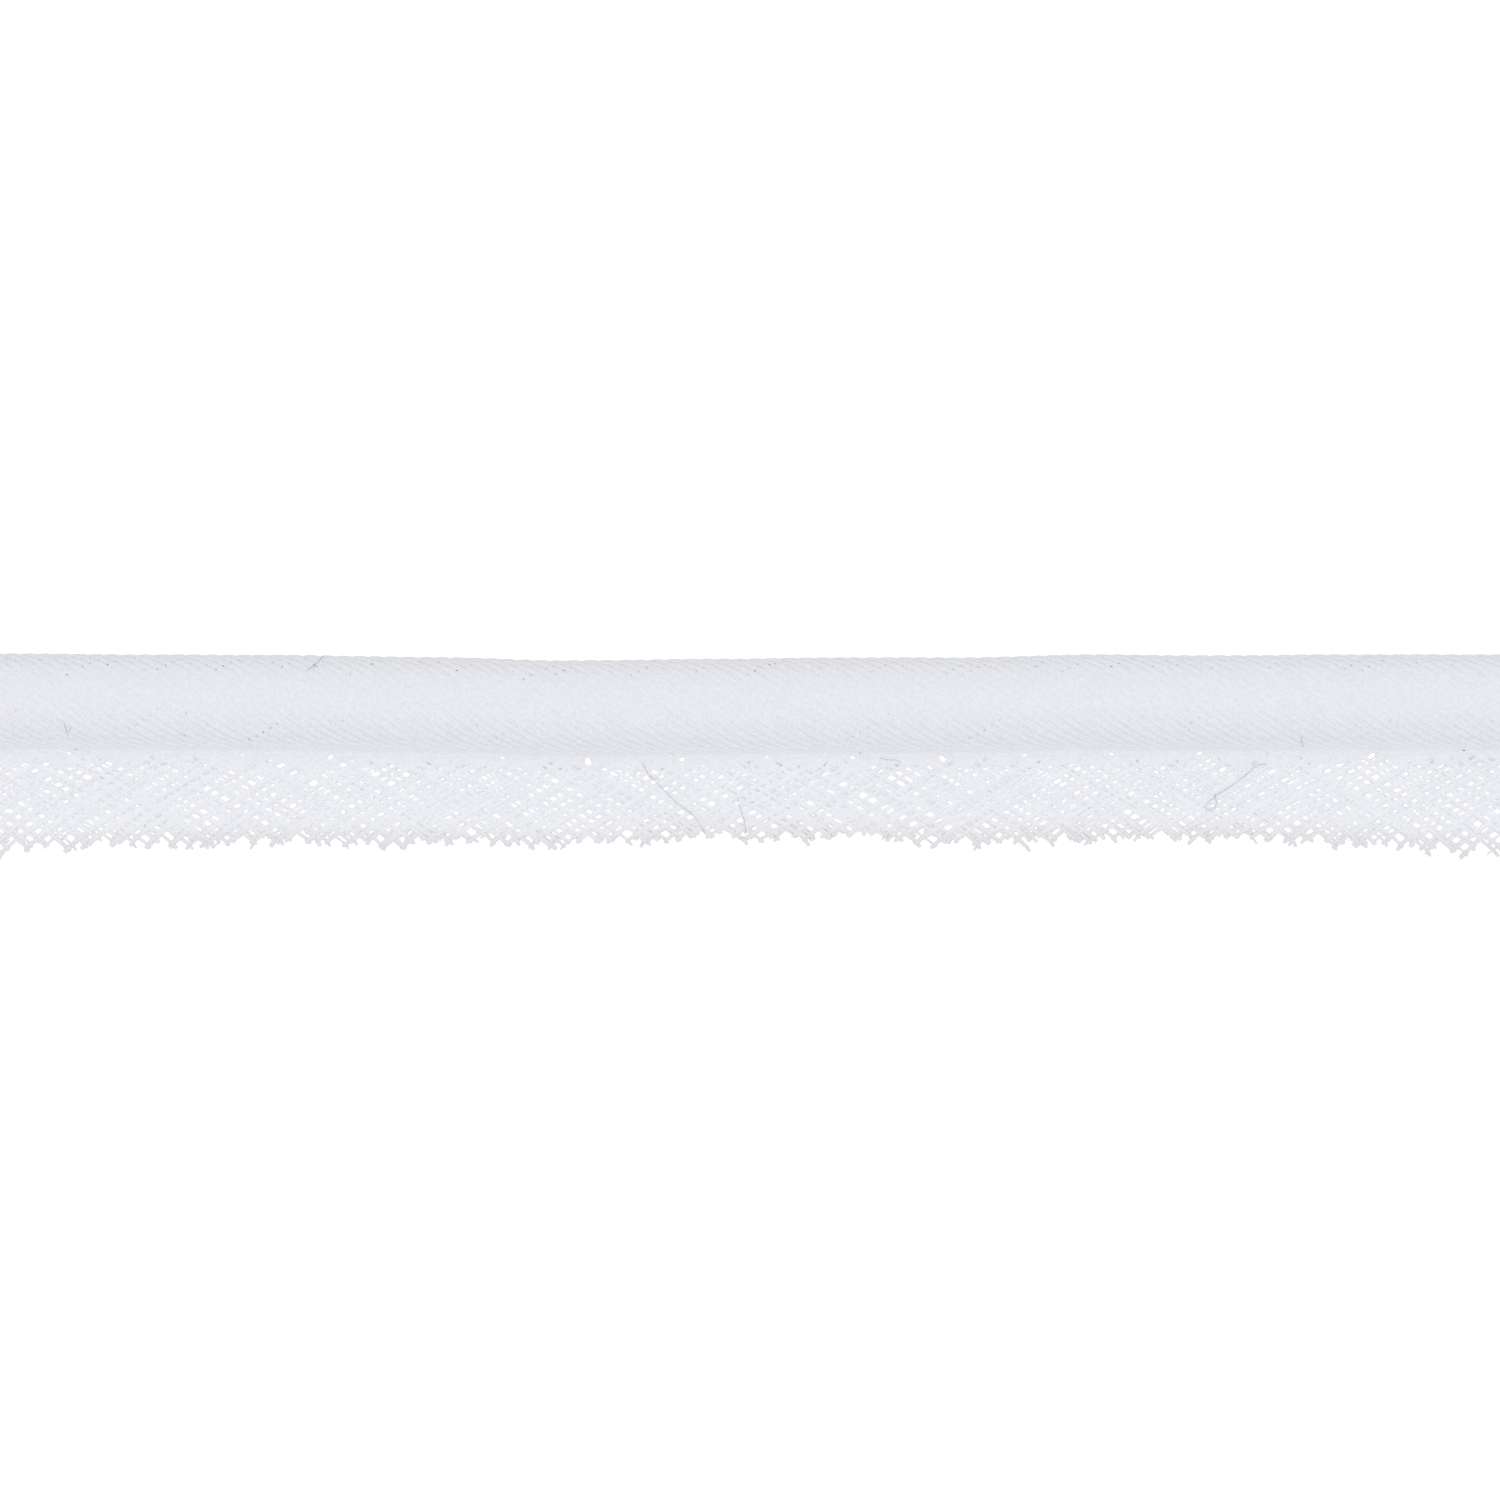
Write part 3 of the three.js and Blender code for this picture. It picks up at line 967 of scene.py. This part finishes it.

# %% [markdown]
# Cotton
#
# White cotton scatters nearly all the light that meets it, so its colour is close to white, a
# little bluish here from the optical whitener. It has no gloss at all. Two textures give it
# life: a fine mottling in object space, as some bundles of fibres are denser, and a bump of
# fibres in thread space, which spiral round each thread because the UV map is turned. The two
# attributes from the meshes then paint shade into the colour: they grey the loose threads at the
# raw edge, and the cloth over the cord and along the stitches, a little.
#
# Light gets out of the gaps between white threads only after many bounces. With Blender's usual
# four, the gaps would look dark, so the scene allows 24.

# %% Mix the cottons
grain_scale = 7000
blotch_scale = 900
blotch_share = 0.12
mottling_from, mottling_to = 0.455, 0.545
noise_detail = 3
fibre_stretch = (2, 22, 1)
twist_angle = math.radians(25)
thread_girth = 0.7
light_bounces = 24
# Painted shade: the cloth over the cord and along the stitches is greyed, so that the flange, lit
# through from below, stays lighter.
cord_shade_tint = (0.95, 0.95, 0.952)
# Painted shade: the loose threads near the raw edge are greyed and warmed a little.
raw_end_shade_tint = (0.86, 0.845, 0.83)
tints = [("cord_shade", "MULTIPLY", cord_shade_tint), ("raw_end", "MIX", raw_end_shade_tint)]
cover_colours = ((0.946, 0.95, 0.957), (0.994, 0.994, 0.997))
filler_colours = ((0.9, 0.9, 0.9), (0.95, 0.95, 0.95))
sewing_colours = ((0.93, 0.93, 0.94), (0.97, 0.97, 0.98))
thread_fuzz = 0.008 * mm
filler_fuzz = 0.012 * mm
dark_colour = (0.03, 0.028, 0.03)
dark_roughness = 0.6


def cotton(name, low, high, fibre_height):
    """A matt cotton whose colour lies between low and high."""
    material = bpy.data.materials.new(name)
    material.use_nodes = True
    nodes, links = material.node_tree.nodes, material.node_tree.links
    surface = nodes["Principled BSDF"]
    surface.inputs["Roughness"].default_value = 1.0
    surface.inputs["Specular IOR Level"].default_value = 0.0
    coordinates = nodes.new("ShaderNodeTexCoord")

    grain = nodes.new("ShaderNodeTexNoise")
    grain.inputs["Scale"].default_value = grain_scale
    grain.inputs["Detail"].default_value = noise_detail
    blotches = nodes.new("ShaderNodeTexNoise")
    blotches.inputs["Scale"].default_value = blotch_scale
    both = nodes.new("ShaderNodeMix")
    both.inputs["Factor"].default_value = blotch_share
    colours = nodes.new("ShaderNodeValToRGB")
    colours.color_ramp.elements[0].position = mottling_from
    colours.color_ramp.elements[0].color = (*low, 1)
    colours.color_ramp.elements[1].position = mottling_to
    colours.color_ramp.elements[1].color = (*high, 1)
    links.new(coordinates.outputs["Object"], grain.inputs["Vector"])
    links.new(coordinates.outputs["Object"], blotches.inputs["Vector"])
    links.new(grain.outputs["Fac"], both.inputs["A"])
    links.new(blotches.outputs["Fac"], both.inputs["B"])
    links.new(both.outputs["Result"], colours.inputs["Fac"])

    colour = colours.outputs["Color"]
    for attribute, blend_type, tint in tints:
        share = nodes.new("ShaderNodeAttribute")
        share.attribute_name = attribute
        tinted = nodes.new("ShaderNodeMix")
        tinted.data_type = "RGBA"
        tinted.blend_type = blend_type
        tinted.inputs["B"].default_value = (*tint, 1)
        links.new(share.outputs["Fac"], tinted.inputs["Factor"])
        links.new(colour, tinted.inputs["A"])
        colour = tinted.outputs["Result"]
    links.new(colour, surface.inputs["Base Color"])

    turned = nodes.new("ShaderNodeMapping")
    turned.inputs["Rotation"].default_value = (0, 0, twist_angle)
    turned.inputs["Scale"].default_value = (1, thread_girth, 1)
    drawn_out = nodes.new("ShaderNodeMapping")
    drawn_out.inputs["Scale"].default_value = fibre_stretch
    fibres = nodes.new("ShaderNodeTexNoise")
    fibres.inputs["Scale"].default_value = 1
    fibres.inputs["Detail"].default_value = noise_detail
    bump = nodes.new("ShaderNodeBump")
    bump.inputs["Distance"].default_value = fibre_height
    links.new(coordinates.outputs["UV"], turned.inputs["Vector"])
    links.new(turned.outputs["Vector"], drawn_out.inputs["Vector"])
    links.new(drawn_out.outputs["Vector"], fibres.inputs["Vector"])
    links.new(fibres.outputs["Fac"], bump.inputs["Height"])
    links.new(bump.outputs["Normal"], surface.inputs["Normal"])
    return material


cover_cotton = cotton("cover_cotton", *cover_colours, thread_fuzz)
filler_cotton = cotton("filler_cotton", *filler_colours, filler_fuzz)
sewing_cotton = cotton("sewing_cotton", *sewing_colours, thread_fuzz)
dark_fibre = bpy.data.materials.new("dark_fibre")
dark_fibre.use_nodes = True
fibre_surface = dark_fibre.node_tree.nodes["Principled BSDF"]
fibre_surface.inputs["Base Color"].default_value = (*dark_colour, 1)
fibre_surface.inputs["Roughness"].default_value = dark_roughness
bpy.context.scene.cycles.max_bounces = light_bounces
bpy.context.scene.cycles.diffuse_bounces = light_bounces
print("materials:", [m.name for m in (cover_cotton, filler_cotton, sewing_cotton, dark_fibre)])

# %% [markdown]
# The cottons and the shares of the strip
#
# All the cloth is one strip, about 25 mm wide before it was folded. Each part of it is declared
# as a sheet with the area of its share of the strip, because no side of a flat size may be under
# 10 mm. Each part of it has its share of the strip, whose flat width is printed. The cloth
# stands for the folded solid, and the filler for the solid inside.

# %% Give the pieces their cottons
Share = namedtuple("Share", "first last lies_on with_pieces")
weft_pieces = {name: cloth_pieces[name] for name in ("cover_upper_weft", "cover_under_weft")}
shares = {
    "flange_upper_layer": Share(raw_upper, crease_upper, ["flange_lower_layer"], []),
    "cover_upper_warp": Share(crease_upper, splits[1], ["filler"], [weft_pieces["cover_upper_weft"]]),
    "cover_under_warp": Share(splits[1], crease_lower, ["filler"], [weft_pieces["cover_under_weft"]]),
    "flange_lower_layer": Share(crease_lower, raw_lower, [], []),
}
for name, piece in cloth_pieces.items():
    piece.data.materials.append(cover_cotton)
    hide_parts("bias_strip")
    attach(piece, "root")
for name, share in shares.items():
    print(name, "flat width", round((share.last - share.first) / mm, 2), "mm")

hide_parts("filler_cord")
for piece in (filler, filler_brush):
    piece.data.materials.append(filler_cotton)
seam_thread.data.materials.append(sewing_cotton)
stray_fibres.data.materials.append(dark_fibre)
for piece in (filler, filler_brush, seam_thread, stray_fibres):
    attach(piece, "root")

# %% [markdown]
# The light
#
# The piping lies on pure white without any shadow, and the holes in its flange are just as
# white. It was evenly lit from all round, from below too, and the white ground is overexposed.
# So the floor here only shines towards the camera, and takes no part in lighting the piping. A
# bluish white surrounds it, a large soft light hangs above, which makes the top of the cord the
# lightest, and a stronger one below shines through the flange.

# %% Set up the floor and the light
floor_size = 2.0
floor_light = 1.0
floor_colour = (0.1, 0.1, 0.1)
room_light = 0.785
light_colour = (0.952, 0.959, 1.0)
lamp_size = 0.6
lamp_distance = 0.6
lamp_power = 0.7
lower_lamp_power = 1.5

bpy.ops.mesh.primitive_plane_add(size=floor_size)
floor = bpy.context.object
floor.name = "floor"
floor.visible_diffuse = False
floor.visible_shadow = False
glowing_white = bpy.data.materials.new("glowing_white")
glowing_white.use_nodes = True
glow = glowing_white.node_tree.nodes["Principled BSDF"]
glow.inputs["Base Color"].default_value = (*floor_colour, 1)
glow.inputs["Emission Color"].default_value = (1, 1, 1, 1)
glow.inputs["Emission Strength"].default_value = floor_light
floor.data.materials.append(glowing_white)

room = bpy.data.worlds.new("soft_room")
room.use_nodes = True
room.node_tree.nodes["Background"].inputs["Color"].default_value = (*light_colour, 1)
room.node_tree.nodes["Background"].inputs["Strength"].default_value = room_light
bpy.context.scene.world = room
bpy.context.scene.view_settings.view_transform = "Standard"


def add_lamp(name, power, height, tilt):
    """A large square light over or under the middle of the piping."""
    lamp_data = bpy.data.lights.new(name, "AREA")
    lamp_data.size = lamp_size
    lamp_data.energy = power
    lamp_data.color = light_colour
    lamp = bpy.data.objects.new(name, lamp_data)
    lamp.location = (0, 0, height)
    lamp.rotation_euler = (tilt, 0, 0)
    bpy.context.scene.collection.objects.link(lamp)


add_lamp("lamp_above", lamp_power, lamp_distance, 0)
add_lamp("lamp_below", lower_lamp_power, -lamp_distance, math.pi)
print("lamps of", lamp_power, "and", lower_lamp_power, "W,", lamp_distance, "m off")
